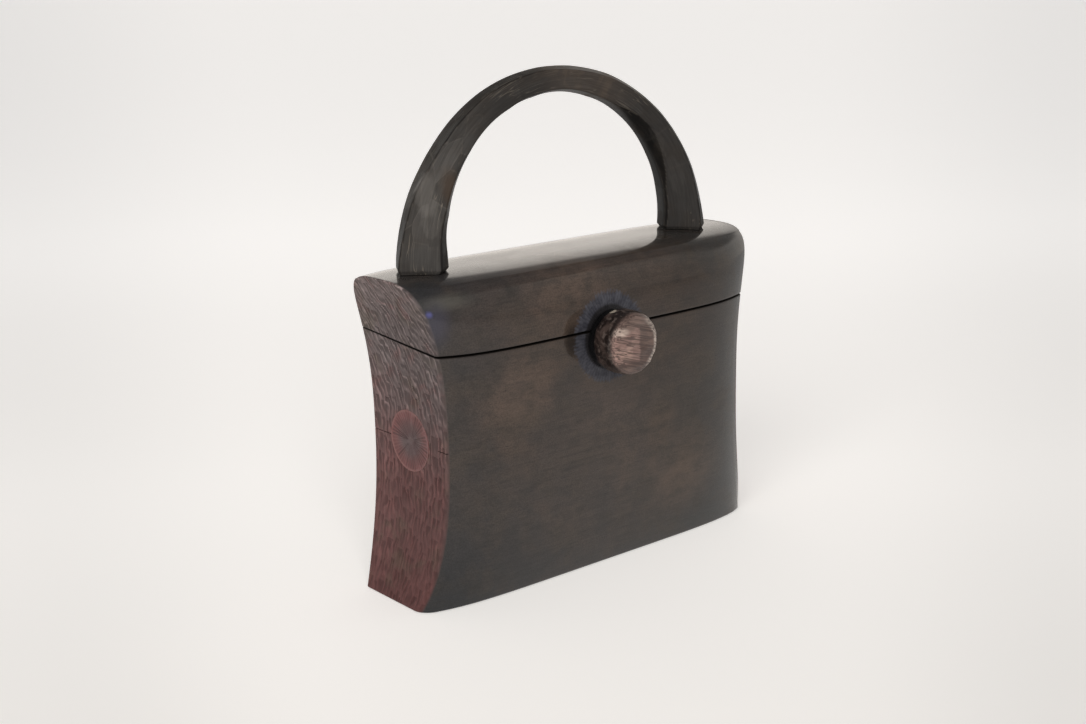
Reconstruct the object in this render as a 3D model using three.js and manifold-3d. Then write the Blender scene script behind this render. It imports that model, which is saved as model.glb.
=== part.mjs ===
// A small wooden handbag. A hollow case and a hollow lid are carved to one bowed form that is
// waisted at its ends, the lid carries an arched handle, a round knob turns in the front of the
// case, a round plug is let into each end, and a pair of butt hinges joins lid and case at the back.
// Millimetres, +Z up, front towards -Y, origin on the floor at the middle of the base.
import * as THREE from "three";
import { mergeVertices } from "three/addons/utils/BufferGeometryUtils.js";
import Module from "manifold-3d";

const wasm = await Module();
wasm.setup();

// The outer form. Its ends are hollowed between a wide base and a wide crown, its sides swell to a
// belly and then round over into a low dome, and in plan the sides bow out between the ends.
const form = {
  height: 158.8,
  waistHeight: 80,
  waistHalfWidth: 96.8,
  baseFlare: 13.2,
  crownFlare: 15,
  flarePower: 2.5,
  bellyHalfDepth: 29.6,
  baseTaper: 6.2,
  taperPower: 3.5,
  shoulderHeight: 156,
  domePowerUp: 8.6,
  domePowerAcross: 3.3,
  endDrop: 0.3,
  endDropPower: 8,
  bowDepth: 7.95,
  bowPower: 6,
  segments: [24, 8, 20],
};
const walls = { side: 8, end: 9, floor: 9, top: 12, segments: [12, 4, 8] };

// The parting line between case and lid climbs towards the back, and gapes a little at the front.
const seam = { heightAtMiddle: 127, climb: 0.09, gapAtBack: 0.5, gapAtFront: 1.3 };

const handle = {
  halfSpan: 86,
  rise: 82.6,
  lean: -1.4,
  springHeight: 159.2,
  overrun: 0.07,
  footWidth: 22.4,
  footDepth: 28,
  crownWidth: 12.7,
  crownDepth: 15,
  sectionPower: 2.4,
  sides: 14,
  steps: 44,
  tenonRadius: 6,
  tenonBottom: 151,
  tenonTop: 166,
};

const knob = {
  x: -1.5,
  height: 118.6,
  faceY: -57.4,
  faceRadius: 13.9,
  headRadius: 15.5,
  headBackY: -43,
  neckRadius: 13.6,
  neckBackY: -38.4,
  shaftRadius: 3,
  collarRadius: 4.6,
  collarThickness: 2.4,
  sides: 28,
};

const plug = { height: 78, radius: 15.1, depth: 4.6, dish: 0.7, rim: 1.6, sides: 32 };

const hinge = {
  offset: 45,
  length: 26,
  knuckleLength: 8.4,
  knuckleRadius: 2,
  pinRadius: 0.9,
  standOff: 1,
  leafWidth: 7.4,
  leafThickness: 1.2,
  leafGap: 0.15,
  sides: 16,
};

const CLEARANCE = 0.3;
const TOOL = 400;

const material = (color, roughness, metalness = 0) =>
  new THREE.MeshStandardMaterial({ color, roughness, metalness });
const wood = {
  body: material(0x3e3731, 0.45),
  handle: material(0x35322f, 0.5),
  knob: material(0x6b5650, 0.55),
  plug: material(0x6a3f3c, 0.65),
};
const brass = material(0x8a7448, 0.4, 1);

// Solids from closed three.js geometry, and back again.
function solidOf(geometry) {
  const bare = geometry.clone();
  for (const name of Object.keys(bare.attributes)) {
    if (name !== "position") bare.deleteAttribute(name);
  }
  const merged = mergeVertices(bare, 1e-4);
  return new wasm.Manifold(
    new wasm.Mesh({
      numProp: 3,
      vertProperties: new Float32Array(merged.attributes.position.array),
      triVerts: new Uint32Array(merged.index.array),
    }),
  );
}

function geometryOf(solid) {
  const mesh = solid.getMesh();
  const geometry = new THREE.BufferGeometry();
  geometry.setAttribute("position", new THREE.BufferAttribute(mesh.vertProperties, 3));
  geometry.setIndex(new THREE.BufferAttribute(mesh.triVerts, 1));
  geometry.computeVertexNormals();
  return geometry;
}

// Moves every vertex of a blank to where shape(x, y, z) says.
function reshape(blank, shape) {
  const at = blank.attributes.position;
  for (let i = 0; i < at.count; i++) {
    at.setXYZ(i, ...shape(at.getX(i), at.getY(i), at.getZ(i)));
  }
  return blank;
}

const boxSolid = (low, high) =>
  solidOf(
    new THREE.BoxGeometry(high[0] - low[0], high[1] - low[1], high[2] - low[2]).translate(
      (low[0] + high[0]) / 2,
      (low[1] + high[1]) / 2,
      (low[2] + high[2]) / 2,
    ),
  );
const rodAlongX = (radius, fromX, toX, sides) =>
  solidOf(
    new THREE.CylinderGeometry(radius, radius, toX - fromX, sides)
      .rotateZ(Math.PI / 2)
      .translate((fromX + toX) / 2, 0, 0),
  );
const rodAlongY = (radius, fromY, toY, sides) =>
  solidOf(
    new THREE.CylinderGeometry(radius, radius, toY - fromY, sides).translate(0, (fromY + toY) / 2, 0),
  );

// The outer form as functions of height, depth and place along the bag.
const domeRise = form.height - form.waistHeight;

function endHalfWidth(z) {
  const below = z < form.waistHeight;
  const away = Math.abs(z - form.waistHeight) / form.waistHeight;
  return form.waistHalfWidth + (below ? form.baseFlare : form.crownFlare) * away ** form.flarePower;
}

function sideHalfDepth(z) {
  if (z < form.waistHeight) {
    const below = (form.waistHeight - z) / form.waistHeight;
    return form.bellyHalfDepth - form.baseTaper * below ** form.taperPower;
  }
  const above = (z - form.waistHeight) / domeRise;
  return form.bellyHalfDepth * (1 - above ** form.domePowerUp) ** (1 / form.domePowerAcross);
}

const shoulderHalfDepth = sideHalfDepth(form.shoulderHeight);

function domeHeight(across) {
  const share = (Math.abs(across) * shoulderHalfDepth) / form.bellyHalfDepth;
  return (
    form.waistHeight + domeRise * (1 - share ** form.domePowerAcross) ** (1 / form.domePowerUp)
  );
}

const bowAt = (along) => form.bowDepth * (1 - Math.abs(along) ** form.bowPower);

// A block of that form, or the hollow inside it where the walls have thickness. The box's segments
// crowd towards its edges, where the form bends most.
function carvedBlock({ side = 0, end = 0, floor = 0, top = 0, segments }) {
  const crowd = (t) => Math.sin((t * Math.PI) / 2);
  return solidOf(
    reshape(new THREE.BoxGeometry(2, 2, 1, ...segments), (u, v, w) => {
      const along = crowd(u);
      const across = crowd(v);
      const up = crowd(w + 0.5);
      const sink = form.endDrop * Math.abs(along) ** form.endDropPower;
      const z = floor + up * (domeHeight(across) - sink - top - floor);
      const depth = sideHalfDepth(Math.min(z, form.shoulderHeight)) + bowAt(along);
      return [along * (endHalfWidth(z) - end), across * (depth - side), z];
    }),
  );
}

const outerForm = carvedBlock(form);
const hollow = carvedBlock(walls);

// The hinge axis lies in the parting plane, just outside the back.
const backAtSeam =
  sideHalfDepth(seam.heightAtMiddle + seam.climb * form.bellyHalfDepth) + form.bowDepth;
const hingeY = backAtSeam + hinge.standOff;
const hingeZ = seam.heightAtMiddle + seam.climb * hingeY;
const seamTilt = Math.atan(seam.climb);

// Turns a solid made in the hinge's own frame, X along the pin and Y in the parting plane, into place.
const atHinge = (solid, x = 0, extraTilt = 0) =>
  solid.rotate([THREE.MathUtils.radToDeg(seamTilt + extraTilt), 0, 0]).translate([x, hingeY, hingeZ]);

const gape = -Math.atan((seam.gapAtFront - seam.gapAtBack) / (2 * backAtSeam));
const aboveCase = atHinge(boxSolid([-TOOL, -TOOL, -seam.gapAtBack / 2], [TOOL, TOOL, TOOL]));
const belowLid = atHinge(boxSolid([-TOOL, -TOOL, -TOOL], [TOOL, TOOL, seam.gapAtBack / 2]), 0, gape);

// Each hinge is let in flush: a bed for its leaf, and a scoop for its knuckles.
const hingePlaces = { left: -hinge.offset, right: hinge.offset };
const halfHinge = hinge.length / 2;
function hingeBed(x) {
  const reach = hinge.leafGap + hinge.leafThickness + CLEARANCE;
  const bed = boxSolid(
    [-halfHinge - CLEARANCE, -hinge.leafWidth - CLEARANCE, -reach],
    [halfHinge + CLEARANCE, hinge.knuckleRadius, reach],
  );
  const scoop = rodAlongX(
    hinge.knuckleRadius + 1.4 * CLEARANCE,
    -halfHinge - CLEARANCE,
    halfHinge + CLEARANCE,
    hinge.sides,
  );
  return atHinge(bed.add(scoop), x);
}

function hingeLeaf(x, side) {
  const near = side * hinge.leafGap;
  const far = side * (hinge.leafGap + hinge.leafThickness);
  const [low, high] = near < far ? [near, far] : [far, near];
  const clearOfKnuckle = -hinge.knuckleRadius - 1.4 * CLEARANCE;
  let leaf = boxSolid([-halfHinge, -hinge.leafWidth, low], [halfHinge, clearOfKnuckle, high]);
  const middle = [-hinge.knuckleLength / 2, hinge.knuckleLength / 2];
  const outer = [
    [-halfHinge, middle[0] - CLEARANCE],
    [middle[1] + CLEARANCE, halfHinge],
  ];
  const onLid = side > 0;
  for (const [from, to] of onLid ? [middle] : outer) {
    leaf = leaf
      .add(boxSolid([from, clearOfKnuckle - 1, low], [to, 0, high]))
      .add(rodAlongX(hinge.knuckleRadius, from, to, hinge.sides));
  }
  const bore = rodAlongX(hinge.pinRadius + CLEARANCE, -halfHinge, halfHinge, hinge.sides);
  const pin = rodAlongX(hinge.pinRadius, -halfHinge, halfHinge, hinge.sides);
  return atHinge(onLid ? leaf.subtract(bore) : leaf.add(pin), x);
}

// The handle is a round blank bent along an elliptical arch, thick at its feet and slim at the top.
function handleSolid() {
  const arch = reshape(
    new THREE.CylinderGeometry(1, 1, 1, handle.sides, handle.steps),
    (x, y, z) => {
      const turn = -handle.overrun + (y + 0.5) * (Math.PI + 2 * handle.overrun);
      const toFoot = Math.min(1, Math.abs(turn / (Math.PI / 2) - 1)) ** 2;
      const width = THREE.MathUtils.lerp(handle.crownWidth, handle.footWidth, toFoot) / 2;
      const depth = THREE.MathUtils.lerp(handle.crownDepth, handle.footDepth, toFoot) / 2;
      const radius = Math.hypot(x, z);
      const square = (t) => Math.sign(t) * Math.abs(t) ** (2 / handle.sectionPower);
      const out = radius && width * radius * square(x / radius);
      const across = radius && depth * radius * square(z / radius);
      const normal = new THREE.Vector2(
        Math.cos(turn) / handle.halfSpan,
        Math.sin(turn) / handle.rise,
      ).normalize();
      return [
        handle.halfSpan * Math.cos(turn) + handle.lean * Math.sin(turn) + normal.x * out,
        -across,
        handle.springHeight + handle.rise * Math.sin(turn) + normal.y * out,
      ];
    },
  );
  let solid = solidOf(arch).subtract(outerForm.translate([0, 0, CLEARANCE]));
  for (const side of [-1, 1]) {
    solid = solid.add(tenonSolid(side, 0));
  }
  return solid;
}

const tenonSolid = (side, clearance) =>
  solidOf(
    new THREE.CylinderGeometry(
      handle.tenonRadius + clearance,
      handle.tenonRadius + clearance,
      handle.tenonTop - handle.tenonBottom + clearance,
      handle.sides,
    )
      .rotateX(Math.PI / 2)
      .translate(
        side * handle.halfSpan,
        0,
        (handle.tenonTop + handle.tenonBottom - clearance) / 2,
      ),
  );

// The knob is turned in one piece: a flat-faced head, a slightly narrower neck, and a shaft through
// the front wall that ends in a collar inside. The profile runs from the inside out, as radius and depth.
const innerFrontY = -(sideHalfDepth(knob.height) + form.bowDepth - walls.side);
function knobGeometry() {
  const collarOuter = innerFrontY + CLEARANCE;
  const collarInner = collarOuter + knob.collarThickness;
  const edge = knob.headRadius - knob.faceRadius;
  const profile = [
    [0, collarInner],
    [knob.collarRadius, collarInner],
    [knob.collarRadius, collarOuter],
    [knob.shaftRadius, collarOuter],
    [knob.shaftRadius, knob.neckBackY],
    [knob.neckRadius, knob.neckBackY],
    [knob.neckRadius, knob.headBackY + 1.2],
    [knob.headRadius - 1.4, knob.headBackY],
    [knob.headRadius, knob.headBackY - 1.4],
    [knob.headRadius, knob.faceY + edge + 1],
    [knob.headRadius - 0.3 * edge, knob.faceY + 0.55 * edge + 0.8],
    [knob.faceRadius, knob.faceY + 0.7],
    [knob.faceRadius / 2, knob.faceY + 0.1],
    [0, knob.faceY],
  ];
  const points = profile.map(([radius, y]) => new THREE.Vector2(radius, y)).reverse();
  return new THREE.LatheGeometry(points, knob.sides);
}

// A plug for the end of the case: a disc with a raised rim round a shallow dish, facing +Y as turned.
function plugGeometry() {
  const profile = [
    [0, -plug.depth],
    [plug.radius, -plug.depth],
    [plug.radius, -0.2],
    [plug.radius - 0.3 * plug.rim, 0],
    [plug.radius - plug.rim, -0.25 * plug.dish],
    [plug.radius / 2, -0.75 * plug.dish],
    [0, -plug.dish],
  ];
  return new THREE.LatheGeometry(
    profile.map(([radius, y]) => new THREE.Vector2(radius, y)),
    plug.sides,
  );
}

const plugFaceX = endHalfWidth(plug.height);
const plugBed = (side) => {
  const from = plugFaceX - plug.depth - CLEARANCE;
  const to = plugFaceX + plug.depth;
  const bed = rodAlongX(plug.radius + CLEARANCE, from, to, plug.sides);
  return bed.scale([side, 1, 1]).translate([0, 0, plug.height]);
};

function caseSolid() {
  const bore = rodAlongY(
    knob.shaftRadius + CLEARANCE,
    knob.neckBackY - knob.headRadius,
    innerFrontY + walls.side,
    knob.sides,
  ).translate([knob.x, 0, knob.height]);
  let solid = outerForm.subtract(hollow).subtract(aboveCase).subtract(bore);
  for (const side of [-1, 1]) {
    solid = solid.subtract(plugBed(side));
  }
  for (const x of Object.values(hingePlaces)) {
    solid = solid.subtract(hingeBed(x));
  }
  return solid;
}

function lidSolid() {
  let solid = outerForm.subtract(hollow).subtract(belowLid);
  for (const side of [-1, 1]) {
    solid = solid.subtract(tenonSolid(side, CLEARANCE));
  }
  for (const x of Object.values(hingePlaces)) {
    solid = solid.subtract(hingeBed(x));
  }
  return solid;
}

function named(name, geometry, finish) {
  const mesh = new THREE.Mesh(geometry, finish);
  mesh.name = name;
  return mesh;
}

const handbag = new THREE.Group();
const lidGroup = new THREE.Group();
handbag.add(lidGroup);

handbag.add(named("case", geometryOf(caseSolid()), wood.body));
lidGroup.add(named("lid", geometryOf(lidSolid()), wood.body));
lidGroup.add(named("handle", geometryOf(handleSolid()), wood.handle));

const knobMesh = named("knob", knobGeometry(), wood.knob);
knobMesh.position.set(knob.x, 0, knob.height);
handbag.add(knobMesh);

for (const [side, x] of Object.entries({ left: -plugFaceX, right: plugFaceX })) {
  const mesh = named(`end_plug_${side}`, plugGeometry(), wood.plug);
  mesh.rotation.z = x < 0 ? Math.PI / 2 : -Math.PI / 2;
  mesh.position.set(x, 0, plug.height);
  handbag.add(mesh);
}

for (const [side, x] of Object.entries(hingePlaces)) {
  handbag.add(named(`hinge_case_leaf_${side}`, geometryOf(hingeLeaf(x, -1)), brass));
  lidGroup.add(named(`hinge_lid_leaf_${side}`, geometryOf(hingeLeaf(x, 1)), brass));
}

export default handbag;
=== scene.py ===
# %% [markdown]
# # A carved wooden handbag
# The bag is a small hollow case with a domed lid, an arched handle on the lid, a turning knob at the
# front and a round plug in each end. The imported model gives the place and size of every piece. This
# lesson dresses those pieces: it carves finer shapes over the same form and gives each wood its finish.

# %% Load the frame
import math
import random

import bmesh
import bpy
from mathutils import Matrix, Vector, noise


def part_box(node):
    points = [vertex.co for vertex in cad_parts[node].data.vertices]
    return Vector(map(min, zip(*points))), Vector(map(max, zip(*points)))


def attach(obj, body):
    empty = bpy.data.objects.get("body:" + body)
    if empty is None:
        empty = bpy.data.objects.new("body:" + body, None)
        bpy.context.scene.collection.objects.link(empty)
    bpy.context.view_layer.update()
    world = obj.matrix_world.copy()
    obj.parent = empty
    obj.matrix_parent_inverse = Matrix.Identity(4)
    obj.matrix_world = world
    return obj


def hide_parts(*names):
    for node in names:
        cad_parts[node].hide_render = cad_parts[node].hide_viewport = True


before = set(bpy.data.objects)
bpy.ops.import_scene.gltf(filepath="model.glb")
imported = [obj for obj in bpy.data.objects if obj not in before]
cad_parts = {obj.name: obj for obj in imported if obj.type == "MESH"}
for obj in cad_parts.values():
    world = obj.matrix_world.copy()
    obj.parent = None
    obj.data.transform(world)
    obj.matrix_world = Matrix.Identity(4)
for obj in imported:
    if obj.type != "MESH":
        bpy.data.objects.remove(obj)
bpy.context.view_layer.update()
scene = bpy.context.scene

# %% [markdown]
# ## Camera
# The photograph was taken with a lens of normal length, a little above the lid and to the left of the
# front. The place and the three turns were worked out from the edges of the base, the lid and the arch,
# so the model falls on the photograph without any shift of the lens.

# %% Camera
camera_place = (-0.4872, -0.5643, 0.2933)
camera_yaw = math.radians(40.05)
camera_pitch = math.radians(14.59)
camera_roll = math.radians(-1.13)
camera_data = bpy.data.cameras.new("photo_camera")
camera_data.sensor_width = 36.0
camera_data.lens = 36.0 * 1503 / 1086
camera = bpy.data.objects.new("photo_camera", camera_data)
aim = Matrix.Rotation(-camera_yaw, 4, "Z") @ Matrix.Rotation(math.pi / 2 - camera_pitch, 4, "X")
camera.matrix_world = Matrix.Translation(camera_place) @ aim @ Matrix.Rotation(camera_roll, 4, "Z")
scene.collection.objects.link(camera)
scene.camera = camera
print("lens", round(camera_data.lens, 1), "mm")

# %% [markdown]
# ## Node helpers
# Every finish below is a node tree, and short helpers keep the trees readable. They work on the tree at
# hand, which is always called tree. One adds a node, one feeds a socket with a number or a link, and the
# others make what is used most: sums, soft steps and mixed colours.

# %% Node helpers
def feed(socket, value):
    if isinstance(value, bpy.types.NodeSocket):
        tree.links.new(value, socket)
    elif isinstance(value, tuple) and len(value) == 3 and socket.type == "RGBA":
        socket.default_value = (*value, 1.0)
    else:
        socket.default_value = value


def fill(node, feeds):
    for name, value in feeds.items():
        feed(node.inputs[name], value)


def add(kind, feeds=None, **settings):
    made = tree.nodes.new(kind)
    for name, value in settings.items():
        setattr(made, name, value)
    fill(made, feeds or {})
    return made


def work_out(operation, first, second=0.0):
    made = add("ShaderNodeMath", {0: first, 1: second}, operation=operation)
    return made.outputs[0]


def times(first, second):
    return work_out("MULTIPLY", first, second)


def nudged(value, other, share):
    return work_out("ADD", value, times(other, share))


def soft_step(value, low, high, out_low=0.0, out_high=1.0):
    feeds = {"Value": value, "From Min": low, "From Max": high, "To Min": out_low, "To Max": out_high}
    made = add("ShaderNodeMapRange", feeds, interpolation_type="SMOOTHSTEP")
    return made.outputs[0]


def blend(share, first, second, how="MIX"):
    made = add("ShaderNodeMix", {0: share, 6: first, 7: second}, data_type="RGBA", blend_type=how)
    return made.outputs[2]


def tinted(colour, factor):
    return blend(1.0, colour, factor, "MULTIPLY")


def stained(colour, mask, share, paint):
    return blend(times(mask, share), colour, paint)


def axes(vector):
    return add("ShaderNodeSeparateXYZ", {0: vector}).outputs


print("node helpers ready")

# %% [markdown]
# ## Floor and light
# The bag stands on a pale sweep in soft light. The polished lid mirrors the pale background, so the light
# comes mostly from a world that is bright up to about 42 degrees and dim above. Behind the bag it is already
# dimmer from about 25 degrees up. The floor glows faintly as painted light, more towards the back, as a lit
# sweep does, and the painted glow dims towards both sides and the front. One wide lamp at the front left
# adds the little direction that shows up the tool marks.

# %% Floor
# The level direction in which the camera looks.
view_x = 0.64
view_y = 0.77


def level_way(parts, x_share, y_share):
    return nudged(times(parts["X"], x_share), parts["Y"], y_share)


floor_bm = bmesh.new()
bmesh.ops.create_circle(floor_bm, cap_ends=True, segments=96, radius=60.0)
bmesh.ops.translate(floor_bm, vec=(0, 0, -0.0004), verts=floor_bm.verts)
floor_mesh = bpy.data.meshes.new("pale_floor")
floor_bm.to_mesh(floor_mesh)
floor_bm.free()
floor = bpy.data.objects.new("pale_floor", floor_mesh)
scene.collection.objects.link(floor)
floor_paint = bpy.data.materials.new("pale_floor")
floor_paint.use_nodes = True
tree = floor_paint.node_tree
sheet = tree.nodes["Principled BSDF"]
where = add("ShaderNodeTexCoord").outputs["Object"]
fibre = add("ShaderNodeTexNoise", {"Vector": where, "Scale": 3.0, "Detail": 2.0}).outputs[0]
tint = blend(fibre, (0.8, 0.785, 0.765), (0.83, 0.815, 0.795))
spot = axes(where)
behind = level_way(spot, view_x, view_y)
# Painted light: the floor's glow, brighter towards the back and dimmer near the front and sides.
near = blend(soft_step(behind, -0.35, 0.15), (0.145, 0.142, 0.138), (0.36, 0.354, 0.348))
painted_floor_glow = blend(soft_step(behind, 0.08, 1.05), near, (0.53, 0.523, 0.516))
beside = level_way(spot, view_y, -view_x)
reach = work_out("MAXIMUM", work_out("ADD", behind, 0.75), 0.05)
spread = work_out("DIVIDE", work_out("ABSOLUTE", beside), reach)
to_front = soft_step(behind, -0.3, -0.6)
to_edge = work_out("MAXIMUM", soft_step(spread, 0.17, 0.37), to_front)
painted_floor_glow = blend(to_edge, painted_floor_glow, (0.085, 0.08, 0.075), "SUBTRACT")
fill(sheet, {"Base Color": tint, "Emission Color": painted_floor_glow, "Emission Strength": 1.0})
fill(sheet, {"Roughness": 0.7, "Specular IOR Level": 0.1})
floor_mesh.materials.append(floor_paint)
print("floor radius 60 m")

# %% World and lamp
world = bpy.data.worlds.new("pale_room")
world.use_nodes = True
scene.world = world
tree = world.node_tree
sky = tree.nodes["Background"]
direction = add("ShaderNodeTexCoord").outputs["Generated"]
parts = axes(direction)
behind = level_way(parts, view_x, view_y)
band = blend(soft_step(behind, -0.3, 0.6), (0.46, 0.45, 0.44), (1.22, 1.14, 1.05))
raised = soft_step(parts["Z"], 0.42, 0.53)
high_behind = times(raised, soft_step(behind, 0.0, 0.4))
band = blend(high_behind, band, (0.22, 0.21, 0.2))
dim = soft_step(parts["Z"], 0.66, 0.7)
feed(sky.inputs["Color"], blend(dim, band, (0.15, 0.15, 0.16)))
sky.inputs["Strength"].default_value = 1.0
lamp_data = bpy.data.lights.new("wide_lamp", "AREA")
lamp_data.size = 1.3
lamp_data.energy = 21.0
lamp_data.color = (1.0, 0.98, 0.95)
lamp = bpy.data.objects.new("wide_lamp", lamp_data)
lamp.location = (-0.95, -0.85, 0.85)
lamp.rotation_euler = (Vector((0, 0, 0.1)) - lamp.location).to_track_quat("-Z", "Y").to_euler()
lamp.visible_glossy = False
scene.collection.objects.link(lamp)
scene.view_settings.view_transform = "Standard"
print("lamp", lamp_data.energy, "W")

# %% [markdown]
# ## The carved form
# Case and lid were cut from one block: the ends are hollowed like a waist, the long sides bow outwards
# and draw in towards the base, and the top is a low dome. A handful of sizes and curves describe that
# form, so both pieces can be settled onto it and will always meet at the parting line.

# %% The carved form
waist_height = 0.08
waist_half_width = 0.0968
base_flare = 0.0132
crown_flare = 0.015
belly_half_depth = 0.0296
base_taper = 0.0062
crown_height = 0.1588
shoulder_height = 0.156
end_tilt = 0.0003
bow_depth = 0.00795
side_skew = 0.0009
right_swell = 0.0011
parting_height = 0.127
parting_climb = 0.09
parting_half_depth = 0.0374
hinge_line = 0.03838


def end_half_width(z):
    flare = base_flare if z < waist_height else crown_flare
    return waist_half_width + flare * (abs(z - waist_height) / waist_height) ** 2.5


def side_half_depth(z):
    if z < waist_height:
        return belly_half_depth - base_taper * ((waist_height - z) / waist_height) ** 3.5
    rise = (min(z, shoulder_height) - waist_height) / (crown_height - waist_height)
    return belly_half_depth * (1 - rise ** 8.6) ** (1 / 3.3)


shoulder_share = side_half_depth(shoulder_height) / belly_half_depth


def dome_height(across):
    rise = (1 - min(abs(across) * shoulder_share, 1.0) ** 3.3) ** (1 / 8.6)
    return waist_height + (crown_height - waist_height) * rise


def half_depth(along, z):
    share = min(max(along, -1.0), 1.0)
    return side_half_depth(z) + bow_depth * (1 - abs(share) ** 6)


def parting_at(y, gap_at_hinge, gap_at_front):
    to_front = (hinge_line - y) / (2 * parting_half_depth)
    return parting_height + parting_climb * y + gap_at_hinge + (gap_at_front - gap_at_hinge) * to_front


low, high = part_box("case")
print("base half width", end_half_width(0.0), "in the solid model", round(high.x, 4))

# %% [markdown]
# ## Blanks for case and lid
# Each half starts as a cube. Its edges get a small bevel, as a maker eases them with a scraper, and each
# axis is then cut into even strips, with extra strips near the ends where the sides turn the corner. A
# second, plainer cube for each half is the hollow, which is sawn out once both have their final form.

# %% Blanks for case and lid
corner_zone = 0.0062
eased_edge = 0.0004


def cut_strips(bm, axis, count, wanted=lambda edge: True, shortest=0.012):
    lines = [e for e in bm.edges if abs(e.verts[0].co[axis] - e.verts[1].co[axis]) > shortest and wanted(e)]
    bmesh.ops.subdivide_edges(bm, edges=lines, cuts=count - 1, use_grid_fill=True)


def plain_block(bottom, top):
    bm = bmesh.new()
    bmesh.ops.create_cube(bm, size=1.0)
    bmesh.ops.scale(bm, vec=(2 * waist_half_width, 2 * belly_half_depth, top - bottom), verts=bm.verts)
    bmesh.ops.translate(bm, vec=(0, 0, (top + bottom) / 2), verts=bm.verts)
    return bm


def near_end(edge):
    return min(abs(v.co.x) for v in edge.verts) > waist_half_width - corner_zone


def eased_block(bottom, top, strips):
    bm = plain_block(bottom, top)
    bmesh.ops.bevel(
        bm, geom=bm.edges[:], offset=eased_edge, segments=2, profile=0.5, affect="EDGES", material=-1
    )
    cut_strips(bm, 0, strips[0])
    cut_strips(bm, 0, 12, near_end, 0.003)
    cut_strips(bm, 1, strips[1])
    cut_strips(bm, 2, strips[2])
    return bm


def open_edges(bm):
    return sum(1 for e in bm.edges if len(e.link_faces) != 2)


case_bm = eased_block(0.0, parting_height, (36, 180, 150))
lid_bm = eased_block(parting_height, crown_height, (36, 180, 44))
print("case blank", len(case_bm.faces), "faces,", open_edges(case_bm), "open edges")
print("lid blank", len(lid_bm.faces), "faces,", open_edges(lid_bm), "open edges")

# %% [markdown]
# ## Gouge marks on the ends
# Both ends are covered with long gouge cuts, upright low down and leaning higher up. Neighbouring cuts leave
# a thin wavy ridge between them. The cuts are counted across the end, noise makes the count wander, and each
# ridge fades in and out along its length. Each cut was made in short strokes that sink in and then stop at
# a small step, and the foot of the ends was scraped smoother. The marks are true shape, so they catch the
# light.

# %% Gouge marks
ridge_spacing = 0.0031
cut_depth = 0.00105
stroke_length = 0.01
lean_from = 0.07
lean_to = 0.125
lean_slope = 0.62
right_end_start = 7.3


def gouge_start(x):
    return 0.0 if x < 0 else right_end_start


def lean_drift(z):
    reach = lean_to - lean_from
    rise = min(max(z - lean_from, 0.0), reach)
    return lean_slope * (rise * rise / (2 * reach) + max(z - lean_to, 0.0))


def ease(value, low, high):
    share = min(max((value - low) / (high - low), 0.0), 1.0)
    return share * share * (3 - 2 * share)


def gouged(y, z, start):
    across = (y - lean_drift(z)) / ridge_spacing
    across += noise.noise(Vector((y * 60, z * 38, start)))
    across += 0.78 * noise.noise(Vector((y * 250, z * 125, start + 5)))
    across += 0.3 * noise.noise(Vector((y * 520, z * 270, start + 3)))
    from_ridge = 2 * abs(across - round(across))
    bold = 0.75 + 0.7 * noise.noise(Vector((round(across) * 1.37, z * 85, start + 9)))
    bold *= 0.5 + 0.5 * ease(z, 0.03, 0.08)
    entry = 2.5 * noise.noise(Vector((math.floor(across) * 1.9, 3.1, start)))
    stroke = (z / stroke_length + entry) % 1.0
    push = cut_depth * bold * (from_ridge * (2 - from_ridge) * (0.55 + 0.85 * stroke) - 0.6)
    return push, bold * math.exp(-from_ridge / 0.28)


print("ridges every", ridge_spacing * 1000, "mm")

# %% [markdown]
# ## Settling the blanks onto the form
# Settling is a sculpting move: a vertex keeps its share of the length, depth and height of its blank, and
# those shares are read off the curves of the form. The front corners are rounded more towards the foot, and
# the front edge of the right end swells a little, as in a piece cut by hand. Vertices of the end faces are
# then pushed in by the gouge, fading out at the eased edges.

# %% Rounded corners and swell
left_corner = 0.0011
right_corner = 0.0016
left_foot_corner = 0.006
right_foot_corner = 0.0095
foot_fade = 0.01
upper_swell = 0.0006
waist_reach = 0.048
foot_swell = 0.0016
foot_reach = 0.014


def quarter_round(along, radius):
    into = (abs(along) - 1) * waist_half_width / radius + 1
    return radius * (1 - math.sqrt(1 - min(max(into, 0.0), 1.0) ** 2))


def round_off(along):
    return quarter_round(along, left_corner if along < 0 else right_corner)


def round_at_foot(along, z):
    radius = left_foot_corner if along < 0 else right_foot_corner
    return quarter_round(along, radius) * math.exp(-z / foot_fade)


def end_swell(z):
    at_waist = right_swell * math.exp(-((z - waist_height) / waist_reach) ** 2)
    return upper_swell * ease(z, 0.15, 0.115) + at_waist + foot_swell * math.exp(-z / foot_reach)


print("swell at the foot", round(end_swell(0.0) * 1000, 2), "mm")

# %% Settle the blanks
end_fade = 0.02
rim_fade = 0.0008
case_gaps = (-0.00015, -0.00025)
lid_gaps = (0.00015, 0.00065)
lid_end_ease = 0.0003


def settle(bm, bottom, top, base_of, top_of):
    for vert in bm.verts:
        along = vert.co.x / waist_half_width
        across = vert.co.y / belly_half_depth
        up = (vert.co.z - bottom) / (top - bottom)
        on_end = abs(vert.co.x) > waist_half_width - 1e-6
        y_near = across * half_depth(along, parting_height)
        lower = base_of(along, across, y_near)
        z = lower + up * (top_of(along, across, y_near) - lower)
        y = across * (half_depth(along, z) - round_off(along))
        if across < 0:
            y += across * (side_skew * along - round_at_foot(along, z))
        x = along * end_half_width(z)
        if along > 0 and across < 0:
            x += along * end_swell(z) * across ** 2
        if on_end:
            fade = min(1.0, (1 - abs(across)) / end_fade)
            fade *= min(1.0, (0.5 - abs(up - 0.5)) * (top - bottom) / rim_fade)
            x -= math.copysign(gouged(y, z, gouge_start(x))[0] * max(fade, 0.0), x)
        vert.co = (x, y, z)


def case_top(along, across, y):
    return parting_at(y, *case_gaps)


def lid_base(along, across, y):
    return parting_at(y, *lid_gaps)


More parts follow.
